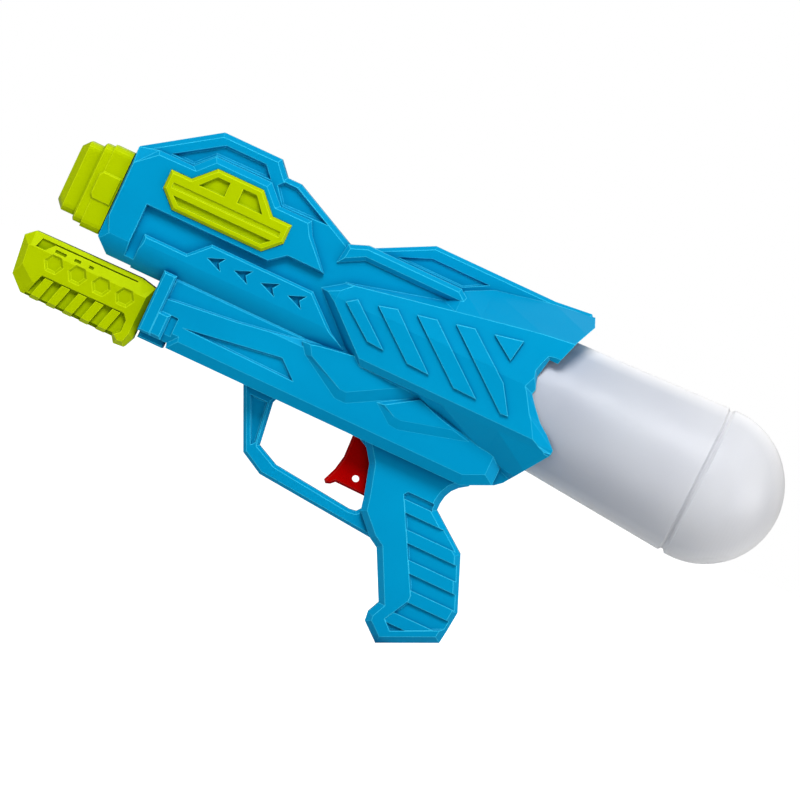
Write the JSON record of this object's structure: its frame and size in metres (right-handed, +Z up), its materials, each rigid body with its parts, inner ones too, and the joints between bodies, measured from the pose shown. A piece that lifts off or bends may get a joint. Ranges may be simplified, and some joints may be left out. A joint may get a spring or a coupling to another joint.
{
  "type": "toy water blaster",
  "caption": "Toy water blaster with a sliding pump handle, a trigger valve and a round-ended screw-on water bottle behind a faceted two-part body",
  "frame": {"origin": "middle of the flat end of the grip, on the seam between the two shells", "axes": "+X to the rear along the barrel, towards the bottle; muzzle towards -X; +Y to the right side; +Z up"},
  "size_m": [0.4005, 0.08, 0.1992],
  "materials": {
    "blue_shell": "moulded, satin",
    "green_trim": "moulded, satin",
    "red_plastic": "moulded, satin",
    "bottle_plastic": "blow moulded, milky",
    "white_plastic": "moulded",
    "grey_plastic": "moulded",
    "black_plastic": "moulded",
    "clear_tube": "extruded, clear",
    "rubber": "moulded",
    "steel": "zinc plated"
  },
  "bodies": {
    "body": {"left_shell": "blue_shell", "right_shell": "blue_shell", "shell_screws": "steel", "left_badge": "green_trim", "right_badge": "green_trim", "nozzle_shroud": "green_trim", "nozzle_tip": "grey_plastic", "barrel_tube": "clear_tube", "delivery_hose": "clear_tube", "pump_cylinder": "white_plastic", "cylinder_gland": "black_plastic", "cylinder_end_cap": "grey_plastic", "check_spring": "steel", "air_hose": "clear_tube", "tank_socket": "black_plastic", "dip_tube": "clear_tube", "dip_filter": "grey_plastic", "outlet_hose": "clear_tube", "valve_body": "grey_plastic", "valve_spring": "steel", "trigger_pin": "steel", "trigger_spring": "steel", "hose_clips": "steel"},
    "pump_handle": {"pump_grip_left": "green_trim", "pump_grip_right": "green_trim", "pump_grip_screws": "steel", "pump_rod": "white_plastic", "rod_pin": "steel", "pump_piston": "black_plastic", "piston_oring": "rubber"},
    "check": {"check_ball": "steel"},
    "neck_seal": {"tank_seal": "rubber"},
    "bottle": {"tank_bottle": "bottle_plastic"},
    "stem": {"valve_stem": "white_plastic", "valve_seal": "rubber"},
    "trigger": {"trigger": "red_plastic"}
  },
  "joints": [
    {"name": "pump_slide", "type": "slide", "parent": "body", "child": "pump_handle", "axis": [-1, 0, 0], "range_m": [0, 0.05]},
    {"name": "trigger_pull", "type": "hinge", "parent": "body", "child": "trigger", "pos_m": [-0.056, 0, 0.093], "axis": [0, -1, 0], "range_deg": [0, 14], "stiffness_Nm_per_rad": 0.4, "springref_deg": -5.73},
    {"name": "stem_lift", "type": "slide", "parent": "body", "child": "stem", "axis": [0, 0, 1], "range_m": [0, 0.002], "deforming": ["valve_spring"]},
    {"name": "check_lift", "type": "slide", "parent": "body", "child": "check", "axis": [0, 0, 1], "range_m": [0, 0.0015], "stiffness_N_per_m": 20, "springref_m": -0.001, "deforming": ["check_spring"]},
    {"name": "tank_advance", "type": "slide", "parent": "body", "child": "neck_seal", "axis": [0.9995, 0, -0.0332], "range_m": [0, 0.0081]},
    {"name": "tank_turn", "type": "hinge", "parent": "neck_seal", "child": "bottle", "pos_m": [0.1015, 0, 0.1345], "axis": [0.9995, 0, -0.0332], "range_deg": [0, 720]}
  ],
  "couplings": [
    {"joint": "stem_lift", "follows": "trigger_pull", "m_per_rad": 0.008},
    {"joint": "tank_advance", "follows": "tank_turn", "m_per_rad": 0.00063662}
  ]
}
